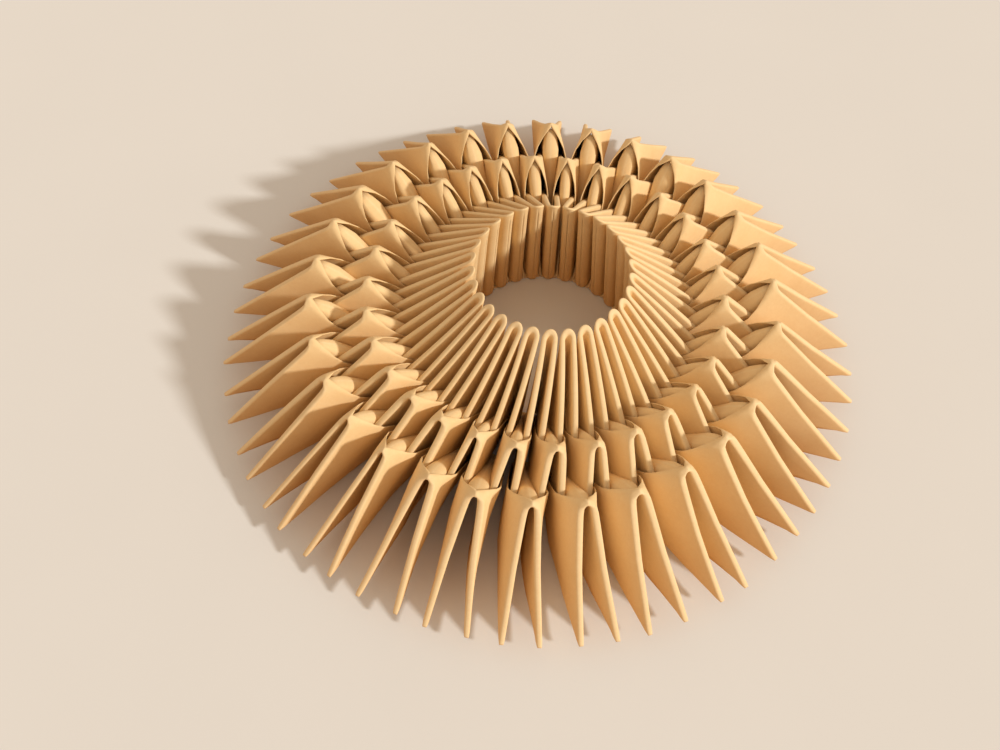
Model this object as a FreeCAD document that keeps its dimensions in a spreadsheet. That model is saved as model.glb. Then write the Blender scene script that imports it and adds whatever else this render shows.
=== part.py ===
"""Starter ring of a modular paper model: three rows of folded paper units, each row
pushed over the tips of the row before it.

Millimetres, +Z up. The origin is on the ring's axis, in the plane the ring rests on.

One unit is a rectangle of paper that is halved along its length, has both ends brought
down to its middle, has the two strips left over tucked up inside, and is then closed
along its middle like a book. Side on it is a right isosceles triangle:

    spine       the closing fold, one short side of the triangle
    short side  the fold where the left-over strip is tucked in
    long side   the fold between the back leaf and the front leaf

Each half of a unit is a back leaf and a front leaf with a pocket between them, open at
the spine and closed along the other two sides. Each leaf is two thicknesses of paper.
The halves of every unit stand along the same radial planes, one plane for each tip.
In the inner row the long side is on top and the spine lines the hole. In the other two
rows the short side is on top, and the tips of the row inside are in the pockets.
"""
import FreeCAD, Part
import math
import os
import Sketcher

# Every size is one value: the name it has in the sheet, the value, and what it is.
SIZES = [
    ("sheet_width", 52.5, "short side of the paper rectangle"),
    ("sheet_length", 74.25, "long side of the paper rectangle"),
    ("leaf", 0.2, "thickness of one leaf, two thicknesses of paper"),
    ("clearance", 0.05, "gap between two leaves that lie side by side"),
    ("units_per_row", 30, "units in one row"),
    ("rim_radius", 14.4, "radius of the hole at its top rim"),
    ("tilt", 4.5, "degrees that every unit's outer end is raised by"),
    ("middle_step", 0.7, "from the inner row's bottom corner to the middle row's"),
    ("outer_step", 10.5, "from the middle row's bottom corner to the outer row's"),
    ("rim_fold", 72.0, "degrees from the middle plane to a half, at an inner spine"),
    ("nose_gap", 1.8, "from a middle nose's full width to the outer row's front leaves"),
    ("ridge_room", 0.3, "room between the leaves at the short side's fold"),
    ("shoulder_lean", 14.0, "degrees that a front leaf leans out below its short side"),
]

# Sizes that follow from those, as expressions.
LEG = "(Sizes.sheet_width / 2)"
STRIP = "((Sizes.sheet_length - Sizes.sheet_width) / 2)"
HALF_PITCH = "(90deg / Sizes.units_per_row)"
REACH = "(2 * Sizes.sheet_length)"
OVERRUN = "(Sizes.sheet_width / 8)"
TILT = "(Sizes.tilt * 1deg)"
STEEP = "(45deg + Sizes.tilt * 1deg)"
LEAN = "tan(Sizes.shoulder_lean * 1deg)"
LEAF = "Sizes.leaf"
GAP = "Sizes.clearance"

# How far the leaves of each row lie from their radial plane. An inner half has its
# tucked strip, back leaf and front leaf in a stack centred on the plane. A middle
# pocket holds that stack, and an outer pocket holds the whole middle half.
INNER_STACK = f"(1.5 * {LEAF} + {GAP} / 2)"
MIDDLE_POCKET = f"({INNER_STACK} + {GAP})"
OUTER_FRONT = f"({MIDDLE_POCKET} + 2 * {LEAF} + {GAP})"
OUTER_BACK = f"({MIDDLE_POCKET} + {LEAF} + {GAP})"

# Where each row stands in the middle plane of a unit: x is the radius, z the height.
INNER_CORNER = f"(Sizes.rim_radius + {LEG} * sin({TILT}))"
MIDDLE_CORNER = f"({INNER_CORNER} + Sizes.middle_step)"
OUTER_CORNER = f"({MIDDLE_CORNER} + Sizes.outer_step)"
INNER_LIFT = f"({LEAF} + {GAP})"

# How far a middle nose takes to open out to the full width between its halves, so
# that it has done so before the outer row's front leaves are met.
NOSE_DEPTH = f"(Sizes.outer_step * sin({STEEP}) - Sizes.nose_gap)"

MOST_NODES = 60
TOP_PLANE = FreeCAD.Placement()
MIDDLE_PLANE = FreeCAD.Placement(FreeCAD.Vector(), FreeCAD.Rotation(FreeCAD.Vector(1, 0, 0), 90))

doc = FreeCAD.newDocument("paper_ring")
sheet = doc.addObject("Spreadsheet::Sheet", "Sizes")
for line, (name, value, meaning) in enumerate(SIZES, start=1):
    sheet.set(f"A{line}", str(value))
    sheet.setAlias(f"A{line}", name)
    sheet.set(f"B{line}", meaning)
doc.recompute()


def row_of_unit(corner, lift, spine_up):
    """The two directions of a unit in its middle plane, and its right-angled corner.

    Returns a function that gives the place of a point, as expressions, from its
    distance out along the short side and its distance along the spine.
    """
    if spine_up:
        along = (f"cos({TILT})", f"sin({TILT})")
        spine = (f"-sin({TILT})", f"cos({TILT})")
        start = (corner, lift)
    else:
        along = (f"sin({STEEP})", f"-cos({STEEP})")
        spine = (f"-cos({STEEP})", f"-sin({STEEP})")
        start = (f"({corner} + {LEG} * cos({STEEP}))", f"({lift} + {LEG} * sin({STEEP}))")

    def place(out, down):
        return tuple(f"{s} + ({out}) * ({a}) + ({down}) * ({b})"
                     for s, a, b in zip(start, along, spine))
    return place


def outline(name, plane, corners):
    """A closed sketch through corners whose two coordinates are bound expressions."""
    sketch = doc.addObject("Sketcher::SketchObject", name)
    sketch.Placement = plane
    points = [FreeCAD.Vector(*(float(sheet.evalExpression(c)) for c in corner))
              for corner in corners]
    last = len(points)
    for k, point in enumerate(points):
        sketch.addGeometry(Part.LineSegment(point, points[(k + 1) % last]))
    for k in range(last):
        sketch.addConstraint(Sketcher.Constraint("Coincident", k, 2, (k + 1) % last, 1))
    for k, (point, corner) in enumerate(zip(points, corners)):
        for kind, now, rule in zip(("DistanceX", "DistanceY"), point, corner):
            index = sketch.addConstraint(Sketcher.Constraint(kind, -1, 1, k, 1, now))
            sketch.setExpression(f"Constraints[{index}]", rule)
    return sketch


def extrusion(name, sketch, direction, ahead, behind):
    """A solid made by carrying a sketch ahead and behind along a direction."""
    solid = doc.addObject("Part::Extrusion", name)
    solid.Base = sketch
    solid.DirMode = "Custom"
    solid.Solid = True
    for part, rule in zip(("x", "y", "z"), direction):
        solid.setExpression(f"Dir.{part}", rule)
    solid.setExpression("LengthFwd", ahead)
    solid.setExpression("LengthRev", behind)
    return solid


def common(name, first, second):
    both = doc.addObject("Part::Common", name)
    both.Base, both.Tool = first, second
    return both


def cut(name, blank, tool):
    rest = doc.addObject("Part::Cut", name)
    rest.Base, rest.Tool = blank, tool
    return rest


def side_prism(name, corners):
    """What has this outline side on, right through the unit's thickness."""
    sketch = outline(f"{name}_outline", MIDDLE_PLANE, corners)
    return extrusion(name, sketch, ("0", "1", "0"), OVERRUN, OVERRUN)


def arrow_prism(name, tip, slope, direction, reach=REACH):
    """What lies between two planes that meet in a line through tip on the base plane
    and open by slope towards reach, carried along direction."""
    corners = [(tip, "0"), (f"{tip} + {reach}", f"0 - {reach} * {slope}"),
               (f"{tip} + {reach}", f"{reach} * {slope}")]
    sketch = outline(f"{name}_outline", TOP_PLANE, corners)
    return extrusion(name, sketch, direction, REACH, OVERRUN)


def between_halves(name, offset):
    """What lies between the two radial planes of a unit, each moved out by offset."""
    tip = f"(0 - ({offset}) / sin({HALF_PITCH}))"
    return arrow_prism(name, tip, f"tan({HALF_PITCH})", ("0", "0", "1"))


def between_leaves(name, spine, thickness, offset):
    """What lies inside a leaf that runs from the spine's fold out to the two halves:
    thickness in from the fold's own face, offset out from the radial planes."""
    foot, lean, fold = spine
    tip = f"({foot} + {thickness} / sin({fold}) / sin({lean}))"
    slope = f"(tan({fold}) * sin({lean}))"
    direction = (f"cos({lean})", "0", f"sin({lean})")
    wedge = arrow_prism(f"{name}_fold", tip, slope, direction)
    return common(name, wedge, between_halves(f"{name}_halves", offset))


def between_shoulders(name, corner, ridge):
    """What lies between two planes through the short sides' folds, which are ridge out
    from the radial planes at the nose, and which lean out below those folds."""
    radius, height = corner
    slope = f"({LEAN} / tan({STEEP}) - tan({HALF_PITCH}))"
    side = f"(({radius}) * tan({HALF_PITCH}) + ({ridge}) / cos({HALF_PITCH}))"
    tip = f"({radius} + ({side} + {LEAN} * ({height})) / {slope})"
    return arrow_prism(name, tip, slope, (f"0 - {LEAN} / {slope}", "0", "1"), f"(0 - {REACH})")


def folded_unit(name, place, spine, pocket_out, pocket_in, holds_tips):
    """One unit, its middle plane on the X axis: the whole folded triangle, less the
    two pockets and the space between the halves.

    pocket_out and pocket_in are the distances from the radial plane to the front
    leaf's and the back leaf's inner faces, outwards and inwards. A pocket that holds a
    tip narrows towards the short side's fold.
    """
    back = f"(0 - {pocket_in})"
    fold_width = f"{LEAF} * (1 + sqrt(2))"
    triangle = side_prism(f"{name}_triangle", [place("0", "0"), place(LEG, "0"), place("0", LEG)])
    folded = common(f"{name}_folded", triangle,
                    between_halves(f"{name}_front_faces", f"{pocket_out} + {LEAF}"))

    pocket_side = side_prism(f"{name}_pocket_side", [
        place(f"-{OVERRUN}", LEAF),
        place(f"{LEG} - {fold_width}", LEAF),
        place(f"-{OVERRUN}", f"{LEG} - {LEAF} * sqrt(2) + {OVERRUN}")])
    up_to_front = common(f"{name}_up_to_front", pocket_side,
                         between_halves(f"{name}_pocket_faces", pocket_out))
    if holds_tips:
        nose = place("0", "0")
        ridge = f"({LEAF} + Sizes.ridge_room - {pocket_in})"
        folded = common(f"{name}_shouldered", folded,
                        between_shoulders(f"{name}_shoulders", nose, ridge))
        up_to_front = common(f"{name}_shouldered_pocket", up_to_front,
                             between_shoulders(f"{name}_pocket_shoulders", nose,
                                               f"({ridge} - {LEAF} * sqrt(1 + 2 * {LEAN} ^ 2))"))
    pocket = cut(f"{name}_pocket", up_to_front,
                 between_leaves(f"{name}_back_faces", spine, "0", back))

    past_strip = side_prism(f"{name}_past_strip", [
        place(f"-{OVERRUN}", STRIP), place(f"{LEG} + {OVERRUN}", STRIP),
        place(f"{LEG} + {OVERRUN}", f"{LEG} + {OVERRUN}"),
        place(f"-{OVERRUN}", f"{LEG} + {OVERRUN}")])
    beside_back = between_leaves(f"{name}_beside_back", spine, LEAF, f"{back} - {LEAF}")
    beside_strip = between_leaves(f"{name}_beside_strip", spine, f"(2 * {LEAF})",
                                  f"{back} - 2 * {LEAF}")
    with_pockets = cut(f"{name}_with_pockets", folded, pocket)
    opened = cut(f"{name}_opened", with_pockets,
                 common(f"{name}_bare_back", beside_back, past_strip))
    return cut(name, opened, beside_strip)


def ring_of_units(row, unit, half_pitches, per_node):
    """Copies of a unit all round, in nodes that hold per_node neighbours each."""
    count = int(sheet.units_per_row)
    placed = []
    for k in range(count):
        copy = doc.addObject("Part::Compound", f"{row}_{k + 1:02d}")
        copy.Links = [unit]
        copy.Placement = FreeCAD.Placement(FreeCAD.Vector(), FreeCAD.Rotation(FreeCAD.Vector(0, 0, 1), 1))
        copy.setExpression("Placement.Rotation.Angle",
                           f"{half_pitches} * {HALF_PITCH} + {k} * 4 * {HALF_PITCH} - 90deg")
        placed.append(copy)
    nodes = []
    for first in range(0, count, per_node):
        group = placed[first:first + per_node]
        if len(group) == 1:
            node = group[0]
            node.Label = f"{row}_row_unit_{first + 1:02d}"
        else:
            node = doc.addObject("Part::Compound", f"{row}_group_{first + 1:02d}")
            node.Links = group
            node.Label = f"{row}_row_units_{first + 1:02d}_to_{first + len(group):02d}"
        nodes.append(node)
    return nodes


def nose_fold(corner, pocket_in):
    """Degrees from the middle plane to a half, so that a nose's top edge is open to the
    full width of its halves at the nose's depth."""
    radius = f"({corner} + {LEG} * cos({STEEP}) + {NOSE_DEPTH} * sin({STEEP}))"
    half_width = f"({radius} * tan({HALF_PITCH}) - {pocket_in} / cos({HALF_PITCH}))"
    return f"atan({half_width} / {NOSE_DEPTH})"


inner_spine = (f"({INNER_CORNER} + {INNER_LIFT} * tan({TILT}))", f"(90deg + {TILT})",
               "(Sizes.rim_fold * 1deg)")
middle_spine = (MIDDLE_CORNER, STEEP, nose_fold(MIDDLE_CORNER, MIDDLE_POCKET))
outer_spine = (OUTER_CORNER, STEEP, nose_fold(OUTER_CORNER, OUTER_BACK))

inner_unit = folded_unit("inner_unit", row_of_unit(INNER_CORNER, INNER_LIFT, True), inner_spine,
                         f"({INNER_STACK} - {LEAF})", f"({INNER_STACK} - 2 * {LEAF})", False)
middle_unit = folded_unit("middle_unit", row_of_unit(MIDDLE_CORNER, "0", False), middle_spine,
                          MIDDLE_POCKET, MIDDLE_POCKET, True)
outer_unit = folded_unit("outer_unit", row_of_unit(OUTER_CORNER, "0", False), outer_spine,
                         OUTER_FRONT, OUTER_BACK, True)

# The outer row has a unit to a node and the other rows share what nodes are left.
units = int(sheet.units_per_row)
outer_share = math.ceil(2 * units / MOST_NODES)
hidden_share = 2 * outer_share
nodes = ring_of_units("outer", outer_unit, 0, outer_share)
nodes += ring_of_units("middle", middle_unit, 2, hidden_share)
nodes += ring_of_units("inner", inner_unit, 0, hidden_share)
doc.recompute()

for item in doc.Objects:
    if "Invalid" in item.State or "Error" in item.State:
        raise RuntimeError(f"{item.Label} did not compute")
for item in [inner_unit, middle_unit, outer_unit] + nodes:
    if item.Shape.isNull() or not item.Shape.isValid():
        raise RuntimeError(f"{item.Label} has no valid shape")
for unit in (inner_unit, middle_unit, outer_unit):
    if len(unit.Shape.Solids) != 1:
        raise RuntimeError(f"{unit.Label} is not one piece")

os.makedirs("parts", exist_ok=True)
for node in nodes:
    node.Shape.exportStep(f"parts/{node.Label}.step")
print(f"{len(nodes)} nodes, unit volumes",
      [round(unit.Shape.Volume, 1) for unit in (inner_unit, middle_unit, outer_unit)])
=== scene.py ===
"""Looks of a starter ring for a modular folded-paper model.

Three rows of thirty folded paper units, each row pushed over the tips of the row before
it. Everything is in metres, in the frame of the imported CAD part: +Z up, the origin on
the ring's axis in the plane it rests on.

Side on, a unit is a right isosceles triangle with its right angle at the corner P. The
spine runs from P to the corner Q, the short side from P to the tip T, and the long side
from Q to T. Places on a unit are given by three lengths:

    out     along the short side, away from the spine
    deep    along the spine, away from the short side
    aside   away from the unit's middle plane, the same for its left and right halves
"""

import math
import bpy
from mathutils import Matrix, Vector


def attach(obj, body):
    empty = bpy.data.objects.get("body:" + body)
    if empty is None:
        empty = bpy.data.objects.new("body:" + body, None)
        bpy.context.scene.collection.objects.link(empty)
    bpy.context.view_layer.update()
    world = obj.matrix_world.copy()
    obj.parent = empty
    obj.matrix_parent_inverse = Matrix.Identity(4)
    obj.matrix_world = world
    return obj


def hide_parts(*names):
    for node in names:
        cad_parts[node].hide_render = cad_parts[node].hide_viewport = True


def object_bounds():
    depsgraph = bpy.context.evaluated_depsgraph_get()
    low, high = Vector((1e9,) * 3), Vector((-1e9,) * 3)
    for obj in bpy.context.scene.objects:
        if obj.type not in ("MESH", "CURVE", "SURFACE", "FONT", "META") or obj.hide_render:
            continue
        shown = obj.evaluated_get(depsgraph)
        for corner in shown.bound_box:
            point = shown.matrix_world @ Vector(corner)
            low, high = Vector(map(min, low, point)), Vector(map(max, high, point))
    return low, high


bl_info = {
    "name": "Folded Paper Ring",
    "version": (1, 0, 0),
    "blender": (4, 5, 0),
    "location": "3D View > Sidebar > Paper Ring",
    "description": "Builds a ring of interlocked folded paper units and its stage",
    "category": "Add Mesh",
}

import bpy
import numpy as np
from mathutils import Matrix, Vector

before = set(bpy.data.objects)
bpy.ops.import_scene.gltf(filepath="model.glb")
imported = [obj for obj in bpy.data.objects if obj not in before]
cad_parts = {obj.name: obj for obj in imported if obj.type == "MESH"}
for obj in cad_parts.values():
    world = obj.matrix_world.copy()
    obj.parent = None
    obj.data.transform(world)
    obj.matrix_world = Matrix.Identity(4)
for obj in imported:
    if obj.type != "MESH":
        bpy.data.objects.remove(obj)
CAD_BOX = [list(corner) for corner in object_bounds()]

MM = 0.001
UNITS = sum(name.startswith("outer_row_unit_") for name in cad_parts)
HALF_PITCH = math.pi / UNITS / 2


# ---------------------------------------------------------------- sizes and colours

def length(name, millimetres, description):
    """A length in metres that the user can change."""
    return bpy.props.FloatProperty(name=name, description=description, unit="LENGTH",
                                   default=millimetres * MM, min=0.0, precision=5)


def share(name, default, description):
    """A plain number that the user can change."""
    return bpy.props.FloatProperty(name=name, description=description, default=default,
                                   precision=4)


def bearing(name, degrees, description):
    """An angle in radians that the user can change."""
    return bpy.props.FloatProperty(name=name, description=description, subtype="ANGLE",
                                   default=math.radians(degrees))


def tint(name, default, description):
    """A colour that the user can change, in linear light."""
    return bpy.props.FloatVectorProperty(name=name, description=description, size=3,
                                         subtype="COLOR", default=default, min=0.0, max=1.0)


class PaperRingUnitSizes(bpy.types.PropertyGroup):
    """How large a folded unit is, and how far apart the three rows stand"""
    leg: length("Leg", 26.25, "Short side of the folded triangle, half the sheet's width")
    strip: length("Strip", 10.875, "Height of the strip that is tucked up inside a unit")
    leaf: length("Leaf", 0.2, "Thickness of one leaf, two thicknesses of paper")
    tilt: bearing("Tilt", 4.5, "How far the outer end of every unit is raised")
    rim_radius: length("Rim radius", 14.4, "Radius of the hole at its top rim")
    inner_lift: length("Inner lift", 0.25, "Height of the inner row's bottom corner")
    middle_step: length("Middle step", 0.7,
                        "From the inner row's bottom corner to the middle row's")
    outer_step: length("Outer step", 10.5,
                       "From the middle row's bottom corner to the outer row's")


class PaperRingFolds(bpy.types.PropertyGroup):
    """How the paper goes round its folds, noses and pockets"""
    rim_loop: length("Rim loop", 0.98,
                     "Half width of the loop that an inner unit makes at the hole")
    rim_fold: length("Rim fold", 0.38, "From the middle to a leaf in an inner unit's long side")
    rim_fold_tip: length("Rim fold's tip", 0.53, "The same at the long side's outer end")
    ridge_fold: length("Ridge fold", 0.55, "From the middle to a leaf in a short side's fold")
    tip_fold: length("Tip fold", 0.44, "The same at the short side's tip")
    nose: length("Nose", 0.80, "From the middle plane to a ridge at a pinched nose")
    knob: length("Knob", 0.45, "How far the crushed corner stands up at a nose")
    middle_open: length("Middle opening", 0.30,
                        "How far a middle nose's ridges part just beyond the pinch")
    outer_open: length("Outer opening", 0.36,
                       "How far an outer nose's ridges part just beyond the pinch")
    pinch: length("Pinch", 0.9, "How far the pinch of a nose reaches outwards")
    inner_spread: share("Inner spread", 0.033, "How fast an inner unit's halves open outwards")
    middle_spread: share("Middle spread", 0.083, "How fast a middle unit's ridges open outwards")
    outer_spread: share("Outer spread", 0.086, "How fast an outer unit's ridges open outwards")
    turn: length("Turn", 0.4, "How far outwards a nose's ridges take to turn off the middle")
    panel: length("Panel", 0.9,
                  "How far outwards the back leaves bow before they lie along the tips")
    mouth: length("Mouth", 0.3, "How far a pocket's edge stands back from the spine")
    clearance: length("Clearance", 0.05, "Gap between two leaves that lie side by side")
    puff: length("Puff", 0.22, "How far the front leaves bow out of true")


class PaperRingUneven(bpy.types.PropertyGroup):
    """How far the ring is from an even one, as a thing made by hand"""
    seed: bpy.props.IntProperty(name="Seed", default=7,
                                description="Choice of hand-made unevenness")
    spacing: bpy.props.FloatProperty(
        name="Spacing", subtype="FACTOR", default=0.30,
        description="How unevenly the tips are spaced, as a share of the half pitch")
    lean: share("Lean", 0.10, "How far the leaves lean round the ring, for each unit of height")
    lean_change: share("Lean change", 0.07, "How much that lean changes round the ring")
    lean_side: bearing("Lean side", -60.0, "Where round the ring the leaves lean most")
    reach: length("Reach", 1.3, "How far the shortest tips fall short")
    short_side: bearing("Short side", 125.0, "Where round the ring the tips fall shortest")
    lift: length("Lift", 0.35, "How unevenly the noses stand")
    shift: bpy.props.FloatVectorProperty(
        name="Shift", description="How far the hole is off the centre, along X and Y", size=2,
        unit="LENGTH", default=(1.8 * MM, 1.4 * MM))


class PaperRingFinish(bpy.types.PropertyGroup):
    """The paper's colours, sheen and fibres"""
    paper: tint("Paper", (0.920, 0.690, 0.380), "Colour of the paper")
    shade: tint("Paper shade", (0.870, 0.625, 0.320),
                "Colour of the paper's darker flecks and clouds")
    # Painted highlight: a paler colour along each fold's crown, where the beads catch the light.
    crease: tint("Crease", (0.940, 0.750, 0.460),
                 "Colour of the paper where a fold has burnished it")
    roughness: share("Roughness", 0.82, "Roughness of the paper")
    fibre: length("Fibre", 0.6, "Length of the fibres that show in the paper")
    fibre_depth: length("Fibre depth", 0.022, "Depth of the fibres' relief")


class PaperRingStage(bpy.types.PropertyGroup):
    """The floor and the lights"""
    floor: tint("Floor", (0.84, 0.85, 0.85), "Colour of the floor")
    floor_bounce: tint("Floor bounce", (0.62, 0.36, 0.18),
                       "Colour that the floor gives back to the paper")
    key: share("Key", 2.3, "Strength of the key light")
    key_tint: tint("Key tint", (1.0, 0.96, 0.89), "Colour of the key light")
    key_azimuth: bearing("Key azimuth", -17.0, "Where the key light stands, anticlockwise from +X")
    key_elevation: bearing("Key elevation", 28.0, "Height of the key light above the horizon")
    key_width: bearing("Key width", 5.0, "Angle that the key light fills, to soften the shadows")
    fill: share("Fill", 0.62, "Strength of the light from all round")
    fill_tint: tint("Fill tint", (1.0, 0.79, 0.60), "Colour of the light from all round")


# ---------------------------------------------------------------- shapes

class Row:
    """Where one row's units stand in their middle plane, and which way they face."""

    def __init__(self, name, corner, lift, spine_up, first, sizes, opening):
        self.name = name
        self.first = first
        self.nose, self.open, self.pinch, self.spread = opening
        tilt, steep = sizes.tilt, math.radians(45) + sizes.tilt
        if spine_up:
            self.out = np.array([math.cos(tilt), math.sin(tilt)])
            self.down = np.array([-math.sin(tilt), math.cos(tilt)])
            self.corner = np.array([corner, lift])
        else:
            self.out = np.array([math.sin(steep), -math.cos(steep)])
            self.down = np.array([-math.cos(steep), -math.sin(steep)])
            self.corner = np.array([corner, lift]) - sizes.leg * self.down

    def place(self, out, deep):
        """Radius and height of a place on a unit: its corner, plus out along the short
        side and deep along the spine."""
        return (self.corner[0] + out * self.out[0] + deep * self.down[0],
                self.corner[1] + out * self.out[1] + deep * self.down[1])

    def half_aside(self, out, start=1.0):
        """How far a half's middle is aside: the nose's half width, plus an opening that
        comes in exponentially beyond the pinch, plus spread for each unit outwards."""
        out = np.maximum(out, 0.0)
        return (self.nose * start + self.open * (1 - np.exp(-out / self.pinch))
                + self.spread * out)

    def out_at(self, radius, height):
        """The inverse of place, for out alone."""
        return (radius - self.corner[0]) * self.out[0] + (height - self.corner[1]) * self.out[1]


def rows(sizes, folds):
    """The inner, middle and outer rows."""
    corner = sizes.rim_radius + sizes.leg * math.sin(sizes.tilt)
    quarter = math.pi / 2
    inner = Row("inner", corner, sizes.inner_lift, True, -quarter, sizes,
                (folds.rim_loop, 0.0, folds.pinch, folds.inner_spread))
    middle = Row("middle", corner + sizes.middle_step, 0.0, False, -quarter + 2 * HALF_PITCH,
                 sizes, (folds.nose, folds.middle_open, folds.pinch, folds.middle_spread))
    outer = Row("outer", corner + sizes.middle_step + sizes.outer_step, 0.0, False, -quarter,
                sizes, (folds.nose, folds.outer_open, folds.pinch, folds.outer_spread))
    return inner, middle, outer


def ease(x):
    """Nought below 0, one above 1, and 3x^2 - 2x^3 between."""
    x = np.clip(x, 0.0, 1.0)
    return x * x * (3 - 2 * x)


def ramp(x, soft):
    """Nought below 0, one above 1, and straight between, its two corners rounded."""
    return (np.sqrt(x * x + soft * soft) - np.sqrt((x - 1) ** 2 + soft * soft) + 1) / 2


SHOULDER = 0.75             # power that squares the shoulders of a fold's curve


def across(along):
    """From 1 to -1 across a fold: a cosine whose shoulders are squared."""
    turned = np.cos(np.pi * along)
    return np.sign(turned) * np.abs(turned) ** SHOULDER


def over(along):
    """From 0 up to 1 and back over a fold: a sine whose shoulders are squared."""
    return np.clip(np.sin(np.pi * along), 0, 1) ** SHOULDER


# One half of a unit is one strip of paper, followed from the tucked strip's free edge,
# round the short side's fold (the ridge), down the front leaf, round the long side's fold
# and up the back leaf to its raw edge. Each of the five stretches has its count of steps.
STRIP, RIDGE, FRONT, LONG, BACK = range(5)
STRETCH_STEPS = (4, 7, 11, 6, 11)

# From the spine to the tip the grid has these steps round the nose and along the leg,
# closer together near the nose by a power, and then places in a tip's taper.
NOSE_STEPS, LEG_STEPS = 5, 13
LEG_POWER = 1.5
TAPER_PLACES = (0.5, 0.15, 0.0)

CROWN = 0.36 * MM           # depth of a rounded fold
POCKET_BEND = 0.75 * MM     # depth of the fold that closes a pocket
FOLD_SHARE = 0.36           # most of a unit's depth that one fold takes, near the tip
RAW_EDGE_SLOPE = 0.02       # how fast the back leaf's raw edge falls below the ridge
INSET = 0.24 * MM           # how far the back leaf lies inside the ridge's fold
STRIP_BACK = 0.25 * MM      # how far the strip's free edge stands back at the spine
KNOB_REACH = 0.9 * MM       # how far outwards the crushed corner shows
CLOSED_REACH = 0.6 * MM     # how far outwards a ridge stays shut at the nose
TIP_GAP = 0.15 * MM         # how far a tip stops short of its sharp corner
TIP_TAPER = 1.8 * MM        # length over which a tip narrows
TIP_NARROWING = 0.6         # share of a fold's width squared that is gone at the tip
WALL_REACH = 1.4 * MM       # how far outwards the wall of the hole is drawn in
WALL_DEPTH = 1.2 * MM       # and how near the long side it stops
WALL_DRAW = 0.6             # share of a fold's width that the wall is drawn in by
POCKET_SOFT = 0.06          # how much the bend into a pocket is rounded
BACK_SOONER = 0.33          # share by which back leaves reach a pocket's line sooner
POCKET_FADE = 6 * MM        # leaves go back to their own line this near a held tip
POCKET_SLIM = 0.45          # share by which a held half has thinned at its tip
LEAST_FRONT = 0.02 * MM     # least distance of a front leaf from the middle plane
LEAST_BACK = 0.11 * MM      # the same for the other leaves
SETTLING_ROUNDS = 3         # times that depth and place outwards are worked out in turn


def stretches():
    """For each column of the grid: which stretch it is in, and how far along that
    stretch, from 0 to 1."""
    kind = np.concatenate([np.full(n, k) for k, n in enumerate(STRETCH_STEPS)] + [[BACK]])
    along = np.concatenate([np.arange(n) / n for n in STRETCH_STEPS] + [[1.0]])
    return kind, along


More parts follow.
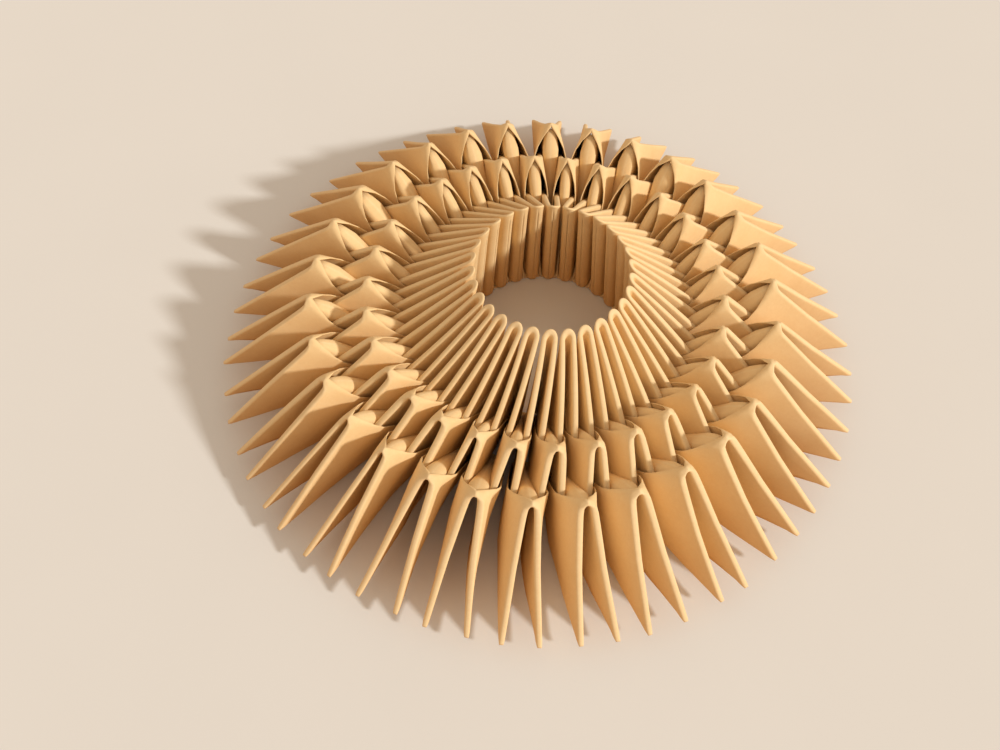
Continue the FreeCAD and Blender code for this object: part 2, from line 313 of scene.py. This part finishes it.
def half_unit(row, held, sizes, folds, pocket):
    """The middle surface of one half, as out, deep and aside on a grid whose rows go
    from the spine to the tip and whose columns follow the folded strip of paper.

    The half's centre line starts on the middle plane, turns a quarter of an ellipse and
    runs straight outwards, opening by the row's spread. A leaf lies to one side of that
    line. Where the pocket holds a half of the row inside, the leaves move over from
    their own centre line to that half's, by a ramp over the depth from the ridge to it.
    """
    kind, along = stretches()
    leg, leaf = sizes.leg, sizes.leaf
    edge = folds.rim_fold if held is None else folds.ridge_fold
    tip_edge = folds.rim_fold_tip if held is None else folds.tip_fold
    shift = edge + leaf / 2
    turn = folds.rim_loop if held is None else folds.turn

    quarter = np.linspace(0, np.pi / 2, NOSE_STEPS + 1)
    last = leg - shift - TIP_GAP
    run = turn + (last - TIP_TAPER - turn) * np.linspace(0, 1, LEG_STEPS + 1)[1:] ** LEG_POWER
    centre_out = np.concatenate([turn * (1 - np.cos(quarter)), run,
                                 last - TIP_TAPER * np.array(TAPER_PLACES)])[:, None]
    is_strip, is_ridge, is_front, is_long, is_back = (
        kind == k for k in (STRIP, RIDGE, FRONT, LONG, BACK))

    # Share of the front leaf in each column: 1 on it, 0 on the strip and the back leaf.
    front = np.select([is_ridge, is_front, is_long],
                      [(1 - across(along)) / 2, 1.0, (1 + across(along)) / 2], 0.0)
    back = np.select([is_long, is_back], [1 - front, 1.0], 0.0)
    strip = 1 - front - back

    # At the spine the strip's free edge and the pocket's edge stand back.
    mouth = 0.0 if held is None else folds.mouth
    edge_back = np.select([is_front, is_long], [ease(3 * along), front], 0.0)
    start = STRIP_BACK * strip + mouth * edge_back
    reach = start + centre_out * (1 - start / last)
    cosine = np.clip(1 - reach / turn, 0, 1)
    sine = np.sqrt(1 - cosine ** 2)
    tip = np.clip((reach - last + TIP_TAPER) / TIP_TAPER, 0, 1)
    narrow = (edge + (tip_edge - edge) * reach / leg) * np.sqrt(1 - TIP_NARROWING * tip ** 3)

    def depths(out):
        """How deep each column is, from the long side's place at this distance out."""
        tall = leg - out
        ridge = np.minimum(CROWN, FOLD_SHARE * tall)
        bend = np.minimum(CROWN if held is None else POCKET_BEND, FOLD_SHARE * tall)
        foot = np.minimum(sizes.strip, tall - bend)
        knob = (0 if held is None else folds.knob) * np.exp(-(reach / KNOB_REACH) ** 2)
        return np.select(
            [is_strip, is_ridge, is_front, is_long, is_back],
            [foot + (ridge - foot) * along,
             ridge * (1 - over(along)) - knob * over(along),
             ridge + (tall - bend - ridge) * along,
             tall - bend + bend * over(along),
             (tall - bend) + (CROWN + RAW_EDGE_SLOPE * tall - (tall - bend)) * along])

    out = shift + reach
    for _ in range(SETTLING_ROUNDS):
        deep = depths(out)
        if held is None:
            wall = np.exp(-reach / WALL_REACH) * (1 - np.exp(-(leg - out - deep) / WALL_DEPTH))
            offset = (2 * front - 1) * narrow * (1 - WALL_DRAW * np.clip(wall, 0, 1))
            fill = np.zeros_like(deep)
        else:
            top, end = pocket["top"], pocket["end"]
            below = (deep - CROWN) / (top - CROWN)
            below = below * (1 + BACK_SOONER * (back + strip))
            first = ramp(0.0, POCKET_SOFT)
            fill = (np.clip(ramp(below, POCKET_SOFT) - first * (1 - below), 0, 1)
                    * (1 - ease((reach - end + POCKET_FADE) / (2 * POCKET_FADE))))
            offset = front * narrow - strip * narrow - back * (narrow - INSET)
        out = (1 - fill) * (shift + reach - offset * cosine) + fill * (reach + leaf / 2)
    radius, height = row.place(out, deep)
    own = row.half_aside(reach, sine)
    if held is None:
        aside = own + offset * sine
    else:
        between = radius * math.sin(2 * HALF_PITCH)
        theirs = between - held.half_aside(held.out_at(radius, height)) * math.cos(2 * HALF_PITCH)
        slim = np.clip(reach / end, 0, 1)
        front_gap = pocket["front"] * (1 - POCKET_SLIM * slim)
        back_gap = pocket["back"] * (1 - POCKET_SLIM * slim)
        panel = np.sin(np.pi / 2 * np.clip(reach / folds.panel, 0, 1)) ** 0.5
        part_down = np.clip(deep / (leg - out + 1e-6), 0, 1)
        bow = folds.puff * np.sin(np.pi * part_down) * (1 - reach / leg)
        in_pocket = (front * (theirs + front_gap + bow)
                     + (back + strip) * panel * (theirs - back_gap) - strip * INSET)
        closed = np.where(is_ridge, over(along), 0) * np.exp(-(reach / CLOSED_REACH) ** 2)
        aside = ((1 - fill) * (own + offset * sine) + fill * in_pocket) * (1 - closed)
    spine = (centre_out[:, :1] == 0) & joined(row)[None, :]
    least = np.where(front > 0, LEAST_FRONT, LEAST_BACK)
    aside = np.where(spine, 0.0, np.maximum(aside, least))
    return out, deep, aside


# Round lengths of the ring that its unevenness is measured against.
NOSE_HEIGHT = 20 * MM
HUB_RADIUS = 40 * MM
TIP_RADIUS = 60 * MM
HUB_END = 1.35              # hub radii at which the hole's own shift has died away

# Slow waves round the ring. A number in a name counts the waves.
TURN_2, TURN_3 = 0.010, 0.008           # swing of the leaves, in radians
LIFT_3, LIFT_7 = 0.6, 0.4               # shares of the lift
SHORT_1, SHORT_5 = 0.55, 0.25           # shares of the shortness
SHORT_OWN = 0.3                         # share of it that is a tip's own
SHORT_SLOPE, SHORT_START = 1.6, 0.6     # it comes in outwards: slope times far, less start


def uneven(points, settings, sizes, nose):
    """Moves points as a hand-made ring is uneven. Each of the radial planes that the
    halves stand along turns round the axis by its own small angle, more at the bottom
    and at the tips, and the angle between two planes is blended from theirs. The leaves
    lean: a place turns round the axis by its height above the outer row's ridges, which
    leave the nose, a radius and a height, and slope down. The rest is a few slow waves
    round the ring."""
    rng = np.random.default_rng(settings.seed)
    planes = 2 * UNITS
    low, high = rng.uniform(-1, 1, (2, planes))
    turn_2, turn_3, _, _, short_5, lift_3, lift_7, _ = rng.uniform(0, 2 * np.pi, 8)
    radius = np.hypot(points[..., 0], points[..., 1])
    angle = np.arctan2(points[..., 1], points[..., 0])
    height = points[..., 2]
    far = radius / (sizes.rim_radius + sizes.leg * 2)

    place = ((angle + np.pi / 2) / (2 * HALF_PITCH) - 0.5) % planes
    before = np.floor(place).astype(int) % planes
    part = ease(place - np.floor(place))
    own_low = low[before] * (1 - part) + low[(before + 1) % planes] * part
    own_high = high[before] * (1 - part) + high[(before + 1) % planes] * part
    up = np.clip(height / NOSE_HEIGHT, 0, 1)
    turn = settings.spacing * HALF_PITCH * far * (own_low * (1 - up) + own_high * up)
    turn += TURN_2 * np.sin(2 * angle + turn_2) + TURN_3 * np.sin(3 * angle + turn_3)
    lean = settings.lean + settings.lean_change * np.cos(angle - settings.lean_side)
    ridge = nose[1] - np.maximum(radius - nose[0], 0) / math.tan(math.radians(45) + sizes.tilt)
    turn += lean * (height - ridge) / np.maximum(radius, HUB_RADIUS)

    short = 0.5 + 0.5 * np.clip(
        SHORT_1 * np.cos(angle - settings.short_side)
        + SHORT_5 * np.sin(5 * angle + short_5) + SHORT_OWN * own_low, -1, 1)
    outwards = np.clip(SHORT_SLOPE * far - SHORT_START, 0, 1)
    stretch = 1 - settings.reach / TIP_RADIUS * short * outwards
    rise = settings.lift / NOSE_HEIGHT * (
        LIFT_3 * np.sin(3 * angle + lift_3) + LIFT_7 * np.sin(7 * angle + lift_7))
    hub = np.clip(HUB_END - radius / HUB_RADIUS, 0, 1)
    ground, top = sizes.leaf / 2, CAD_BOX[1][2]
    moved = np.empty_like(points)
    radius = radius * stretch
    moved[..., 0] = radius * np.cos(angle + turn) + settings.shift[0] * hub
    moved[..., 1] = radius * np.sin(angle + turn) + settings.shift[1] * hub
    moved[..., 2] = ground + height * (1 - ground / top) * (1 + rise * np.clip(far, 0, 1))
    return moved


def unit_points(row, grid, numbers, settings, sizes, nose):
    """Both halves of every unit in a row: an array of units, sides, rows, columns and
    the three coordinates. A unit's middle plane is turned to its own place."""
    out, deep, aside = grid
    radius, height = row.place(out, deep)
    flat = np.stack([np.stack([radius, side * aside, height], -1) for side in (-1, 1)])
    turns = (row.first + 4 * HALF_PITCH * numbers)[:, None, None, None]
    c, s = np.cos(turns), np.sin(turns)
    points = np.empty((len(numbers),) + flat.shape)
    points[..., 0] = c * flat[..., 0] - s * flat[..., 1]
    points[..., 1] = s * flat[..., 0] + c * flat[..., 1]
    points[..., 2] = flat[..., 2]
    return uneven(points, settings, sizes, nose)


def joined(row):
    """Which columns of a unit's two grids meet on the middle plane: the back leaves, the
    ridge folds and, in the inner row, the folds that make the rim of the hole."""
    kind, _ = stretches()
    return (kind == BACK) | (kind == RIDGE) | ((kind == LONG) & (row.name == "inner"))


def unit_faces(rows_count, columns, meet):
    """Quads of a unit's two grids, joined where the first rows of both meet, and the
    points that this leaves without a quad.

    A quad joins four neighbours in a grid. The left grid's go the other way round, so
    that both face outwards.
    """
    left = np.arange(rows_count * columns).reshape(rows_count, columns)
    right = left + left.size
    shared = np.where(meet)[0]
    left_used = left.copy()
    left_used[0, shared] = right[0, shared]
    quads = []
    for grid, flip in ((left_used, True), (right, False)):
        quad = np.stack([grid[:-1, :-1], grid[1:, :-1], grid[1:, 1:], grid[:-1, 1:]], -1)
        quad = quad.reshape(-1, 4)
        quads.append(quad[:, ::-1] if flip else quad)
    return np.concatenate(quads), left[0, shared]


def new_mesh(name, points, faces, crease):
    """A mesh from an array of points and an array of quads, with an attribute that marks where the
    painted crease highlight goes.
    """
    mesh = bpy.data.meshes.new(name)
    mesh.vertices.add(len(points))
    mesh.vertices.foreach_set("co", points.astype(np.float32).ravel())
    mesh.loops.add(faces.size)
    mesh.loops.foreach_set("vertex_index", faces.astype(np.int32).ravel())
    mesh.polygons.add(len(faces))
    mesh.polygons.foreach_set("loop_start", np.arange(0, faces.size, 4, dtype=np.int32))
    mesh.polygons.foreach_set("use_smooth", np.ones(len(faces), bool))
    highlight_share = mesh.attributes.new("crease", "FLOAT", "POINT")
    highlight_share.data.foreach_set("value", crease.astype(np.float32))
    mesh.update(calc_edges=True)
    mesh.validate()
    return mesh


def build_row(context, row, held, pocket):
    """Makes every unit of one row, and lets each stand for its CAD node."""
    scene = context.scene
    sizes, folds = scene.paper_ring_sizes, scene.paper_ring_folds
    grid = half_unit(row, held, sizes, folds, pocket)
    nose = rows(sizes, folds)[2].corner
    points = unit_points(row, grid, np.arange(UNITS), scene.paper_ring_uneven, sizes, nose)
    count, columns = grid[0].shape
    faces, unused = unit_faces(count, columns, joined(row))
    kept = np.ones(2 * count * columns, bool)
    kept[unused] = False
    index = np.cumsum(kept) - 1

    kind, along = stretches()
    # Painted highlight: a paler colour along the crown of each ridge and long fold, and along the
    # spine, where the beads catch the light.
    highlight_share = np.where((kind == RIDGE) | (kind == LONG), np.sin(np.pi * along), 0.0)
    crease = np.broadcast_to(highlight_share, (2, count, columns)).copy()
    crease[:, 0, kind == BACK] = 1.0
    material = paper_material(scene.paper_ring_finish)
    made = []
    for number in range(UNITS):
        name = f"{row.name}_unit_{number + 1:02d}"
        mesh = new_mesh(name, points[number].reshape(-1, 3)[kept], index[faces],
                        crease.ravel()[kept])
        unit = bpy.data.objects.new(name, mesh)
        context.collection.objects.link(unit)
        mesh.materials.append(material)
        skin = unit.modifiers.new("Leaf thickness", "SOLIDIFY")
        skin.thickness, skin.offset = sizes.leaf, 0.0
        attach(unit, "root")
        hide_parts(node_of(row.name, number + 1))
        made.append(unit)
    return made


def node_of(row, number):
    """The CAD node that holds a unit: a node holds one outer unit, or two neighbours of
    another row."""
    if row == "outer":
        return f"outer_row_unit_{number:02d}"
    first = number - (number - 1) % 2
    return f"{row}_row_units_{first:02d}_to_{first + 1:02d}"


# ---------------------------------------------------------------- materials

class Nodes:
    """Adds nodes to a material, one line each."""

    def __init__(self, material):
        material.use_nodes = True
        self.tree = material.node_tree
        self.tree.nodes.clear()

    def add(self, kind, values=None, **settings):
        """A new node. Each value is a number or colour for a socket, or a socket to join."""
        node = self.tree.nodes.new(kind)
        for name, value in settings.items():
            setattr(node, name, value)
        for socket, value in (values or {}).items():
            if isinstance(value, bpy.types.NodeSocket):
                self.tree.links.new(value, node.inputs[socket])
            else:
                node.inputs[socket].default_value = value
        return node


def with_alpha(colour):
    """A colour as a node's socket takes it."""
    return (*colour, 1.0)


def paper_material(finish):
    """Uncoated paper: faint clouds and flecks in its colour, fibres in its relief, and
    a paler line along each fold's crown, a painted highlight where the beads catch the light."""
    name = "folded_paper"
    if name in bpy.data.materials:
        return bpy.data.materials[name]
    material = bpy.data.materials.new(name)
    made = Nodes(material)
    where = made.add("ShaderNodeTexCoord").outputs["Object"]
    clouds = made.add("ShaderNodeTexNoise", {"Vector": where, "Scale": 160.0, "Detail": 3.0,
                                             "Roughness": 0.55})
    flecks = made.add("ShaderNodeTexNoise", {"Vector": where, "Scale": 0.9 / finish.fibre,
                                             "Detail": 4.0, "Roughness": 0.65, "Distortion": 0.6})
    both = made.add("ShaderNodeMath", {0: clouds.outputs["Fac"], 1: flecks.outputs["Fac"]},
                    operation="ADD")
    spread = made.add("ShaderNodeMapRange", {"Value": both.outputs[0], "From Min": 0.72,
                                             "From Max": 1.28})
    base = made.add("ShaderNodeMix", {"Factor": spread.outputs["Result"],
                                      "A": with_alpha(finish.shade),
                                      "B": with_alpha(finish.paper)}, data_type="RGBA")
    # Painted highlight: the attribute along the folds mixes a paler colour into each fold's crown,
    # where the beads catch the light.
    highlight_share = made.add("ShaderNodeAttribute", attribute_name="crease")
    patchy = made.add("ShaderNodeMath", {0: highlight_share.outputs["Fac"], 1: flecks.outputs["Fac"]},
                      operation="MULTIPLY")
    colour = made.add("ShaderNodeMix", {"Factor": patchy.outputs[0],
                                        "A": base.outputs["Result"],
                                        "B": with_alpha(finish.crease)}, data_type="RGBA")
    rough = made.add("ShaderNodeMapRange", {"Value": flecks.outputs["Fac"],
                                            "To Min": finish.roughness - 0.06,
                                            "To Max": finish.roughness + 0.08})
    fibres = made.add("ShaderNodeTexNoise", {"Vector": where, "Scale": 1.6 / finish.fibre,
                                             "Detail": 5.0, "Roughness": 0.7, "Distortion": 1.1})
    relief = made.add("ShaderNodeBump", {"Height": fibres.outputs["Fac"], "Strength": 0.75,
                                         "Distance": finish.fibre_depth})
    shader = made.add("ShaderNodeBsdfPrincipled", {
        "Base Color": colour.outputs["Result"], "Roughness": rough.outputs["Result"],
        "Specular IOR Level": 0.35, "Normal": relief.outputs["Normal"]})
    made.add("ShaderNodeOutputMaterial", {"Surface": shader.outputs[0]})
    return material


def floor_material(stage):
    """A plain matt floor with the faintest cloudiness."""
    material = bpy.data.materials.new("plain_floor")
    made = Nodes(material)
    where = made.add("ShaderNodeTexCoord").outputs["Object"]
    clouds = made.add("ShaderNodeTexNoise", {"Vector": where, "Scale": 30.0, "Detail": 3.0})
    dark = tuple(c * FLOOR_CLOUDS for c in stage.floor)
    base = made.add("ShaderNodeMix", {"Factor": clouds.outputs["Fac"], "A": with_alpha(dark),
                                      "B": with_alpha(stage.floor)}, data_type="RGBA")
    seen = made.add("ShaderNodeLightPath").outputs["Is Camera Ray"]
    colour = made.add("ShaderNodeMix", {"Factor": seen, "A": with_alpha(stage.floor_bounce),
                                        "B": base.outputs["Result"]}, data_type="RGBA")
    shader = made.add("ShaderNodeBsdfPrincipled", {
        "Base Color": colour.outputs["Result"], "Roughness": 0.9, "Specular IOR Level": 0.0})
    made.add("ShaderNodeOutputMaterial", {"Surface": shader.outputs[0]})
    return material


# ---------------------------------------------------------------- stage

FLOOR_HALF = 3.0                            # half the floor's side
FLOOR_CLOUDS = 0.97                         # brightness of its clouds, against the rest
CAMERA_AIM = (-7.1 * MM, -7.2 * MM, 0.0)    # the place that the camera looks at
CAMERA_DISTANCE = 205.8 * MM                # from there to the camera
CAMERA_AZIMUTH = math.radians(-88.0)        # anticlockwise from +X
CAMERA_ELEVATION = math.radians(58.0)       # above the floor
CAMERA_ROLL = math.radians(1.73)            # anticlockwise, seen from behind the camera
FRAME_WIDTH = 36.0                          # the lens is as long as the frame is wide


def place_camera(context):
    """A camera that looks down at the ring from in front, at its own small roll."""
    data = bpy.data.cameras.new("camera")
    data.lens = data.sensor_width = FRAME_WIDTH
    data.clip_start, data.clip_end = 0.01, 20.0
    camera = bpy.data.objects.new("camera", data)
    context.collection.objects.link(camera)
    back = Vector((math.cos(CAMERA_ELEVATION) * math.cos(CAMERA_AZIMUTH),
                   math.cos(CAMERA_ELEVATION) * math.sin(CAMERA_AZIMUTH),
                   math.sin(CAMERA_ELEVATION)))
    right = Vector((-math.sin(CAMERA_AZIMUTH), math.cos(CAMERA_AZIMUTH), 0.0))
    up = right.cross(-back)
    c, s = math.cos(CAMERA_ROLL), math.sin(CAMERA_ROLL)
    right, up = c * right + s * up, c * up - s * right
    turned = Matrix((right, up, back)).transposed()
    camera.matrix_world = (Matrix.Translation(Vector(CAMERA_AIM) + back * CAMERA_DISTANCE)
                           @ turned.to_4x4())
    context.scene.camera = camera


def build_stage(context):
    """A pale floor that ends far away, an even key light from the right, light from all
    round, and the camera."""
    scene = context.scene
    stage = scene.paper_ring_stage
    corners = FLOOR_HALF * np.array([[-1, -1, 0], [1, -1, 0], [1, 1, 0], [-1, 1, 0]])
    mesh = new_mesh("floor", corners, np.array([[0, 1, 2, 3]]), np.zeros(4))
    mesh.materials.append(floor_material(stage))
    floor = bpy.data.objects.new("floor", mesh)
    context.collection.objects.link(floor)

    lamp = bpy.data.lights.new("key", "SUN")
    lamp.energy, lamp.angle, lamp.color = stage.key, stage.key_width, stage.key_tint
    key = bpy.data.objects.new("key", lamp)
    context.collection.objects.link(key)
    towards = Vector((math.cos(stage.key_elevation) * math.cos(stage.key_azimuth),
                      math.cos(stage.key_elevation) * math.sin(stage.key_azimuth),
                      math.sin(stage.key_elevation)))
    key.location = towards
    key.rotation_euler = towards.to_track_quat("Z", "Y").to_euler()

    world = bpy.data.worlds.new("soft_light")
    world.use_nodes = True
    background = world.node_tree.nodes["Background"]
    background.inputs["Color"].default_value = with_alpha(stage.fill_tint)
    background.inputs["Strength"].default_value = stage.fill
    scene.world = world
    scene.view_settings.view_transform = "Standard"
    place_camera(context)


# ---------------------------------------------------------------- operators and panel

# In each row's pockets: how deep the held half's top is, and how far out its tip is.
MIDDLE_HOLDS = {"top": 7.95 * MM, "end": 17.9 * MM}
OUTER_HOLDS = {"top": 6.82 * MM, "end": 18.3 * MM}


def pocket_sizes(context, row):
    """A row, the row that its pockets hold, and what they have to make room for: where
    the held half lies, and how far the front and back leaves stay from its centre."""
    sizes, folds = context.scene.paper_ring_sizes, context.scene.paper_ring_folds
    inner, middle, outer = rows(sizes, folds)
    step = folds.clearance + sizes.leaf
    if row == "middle":
        held = (folds.rim_fold + folds.rim_fold_tip) / 2 + step
        return middle, inner, {**MIDDLE_HOLDS, "front": held, "back": held}
    held = folds.ridge_fold + step
    return outer, middle, {**OUTER_HOLDS, "front": held + step, "back": held}


class PAPERRING_OT_inner_row(bpy.types.Operator):
    """Folds the inner row, whose spines line the hole"""
    bl_idname = "paper_ring.inner_row"
    bl_label = "Fold Inner Row"

    def execute(self, context):
        scene = context.scene
        inner = rows(scene.paper_ring_sizes, scene.paper_ring_folds)[0]
        if not build_row(context, inner, None, None):
            raise RuntimeError("the inner row has no units")
        return {"FINISHED"}


class PAPERRING_OT_middle_row(bpy.types.Operator):
    """Folds the middle row, whose pockets hold the inner row's tips"""
    bl_idname = "paper_ring.middle_row"
    bl_label = "Fold Middle Row"

    def execute(self, context):
        if not build_row(context, *pocket_sizes(context, "middle")):
            raise RuntimeError("the middle row has no units")
        return {"FINISHED"}


class PAPERRING_OT_outer_row(bpy.types.Operator):
    """Folds the outer row, whose pockets hold the middle row's tips"""
    bl_idname = "paper_ring.outer_row"
    bl_label = "Fold Outer Row"

    def execute(self, context):
        if not build_row(context, *pocket_sizes(context, "outer")):
            raise RuntimeError("the outer row has no units")
        return {"FINISHED"}


class PAPERRING_OT_stage(bpy.types.Operator):
    """Lays the floor and sets the lights and the camera"""
    bl_idname = "paper_ring.stage"
    bl_label = "Set Stage"

    def execute(self, context):
        build_stage(context)
        return {"FINISHED"}


class PAPERRING_PT_panel(bpy.types.Panel):
    """Lists the ring's sizes and the steps that build it"""
    bl_idname = "PAPERRING_PT_panel"
    bl_label = "Paper Ring"
    bl_space_type = "VIEW_3D"
    bl_region_type = "UI"
    bl_category = "Paper Ring"

    def draw(self, context):
        layout = self.layout
        for name, group in GROUPS.items():
            box = layout.box()
            box.label(text=name.replace("_", " ").title())
            for field in group.__annotations__:
                box.prop(getattr(context.scene, name), field)
        for step in STEPS:
            layout.operator(step.bl_idname)


GROUPS = {
    "paper_ring_sizes": PaperRingUnitSizes,
    "paper_ring_folds": PaperRingFolds,
    "paper_ring_uneven": PaperRingUneven,
    "paper_ring_finish": PaperRingFinish,
    "paper_ring_stage": PaperRingStage,
}
STEPS = (PAPERRING_OT_inner_row, PAPERRING_OT_middle_row, PAPERRING_OT_outer_row,
         PAPERRING_OT_stage)


def register():
    """Registers every class, and gives each scene its groups of settings."""
    for group in (*GROUPS.values(), *STEPS, PAPERRING_PT_panel):
        bpy.utils.register_class(group)
    for name, group in GROUPS.items():
        setattr(bpy.types.Scene, name, bpy.props.PointerProperty(type=group))


def unregister():
    """Takes back what register did, the other way round."""
    for name in GROUPS:
        delattr(bpy.types.Scene, name)
    for group in reversed((*GROUPS.values(), *STEPS, PAPERRING_PT_panel)):
        bpy.utils.unregister_class(group)


def main():
    register()
    bpy.ops.paper_ring.inner_row()
    bpy.ops.paper_ring.middle_row()
    bpy.ops.paper_ring.outer_row()
    bpy.ops.paper_ring.stage()


if __name__ == "__main__":
    main()
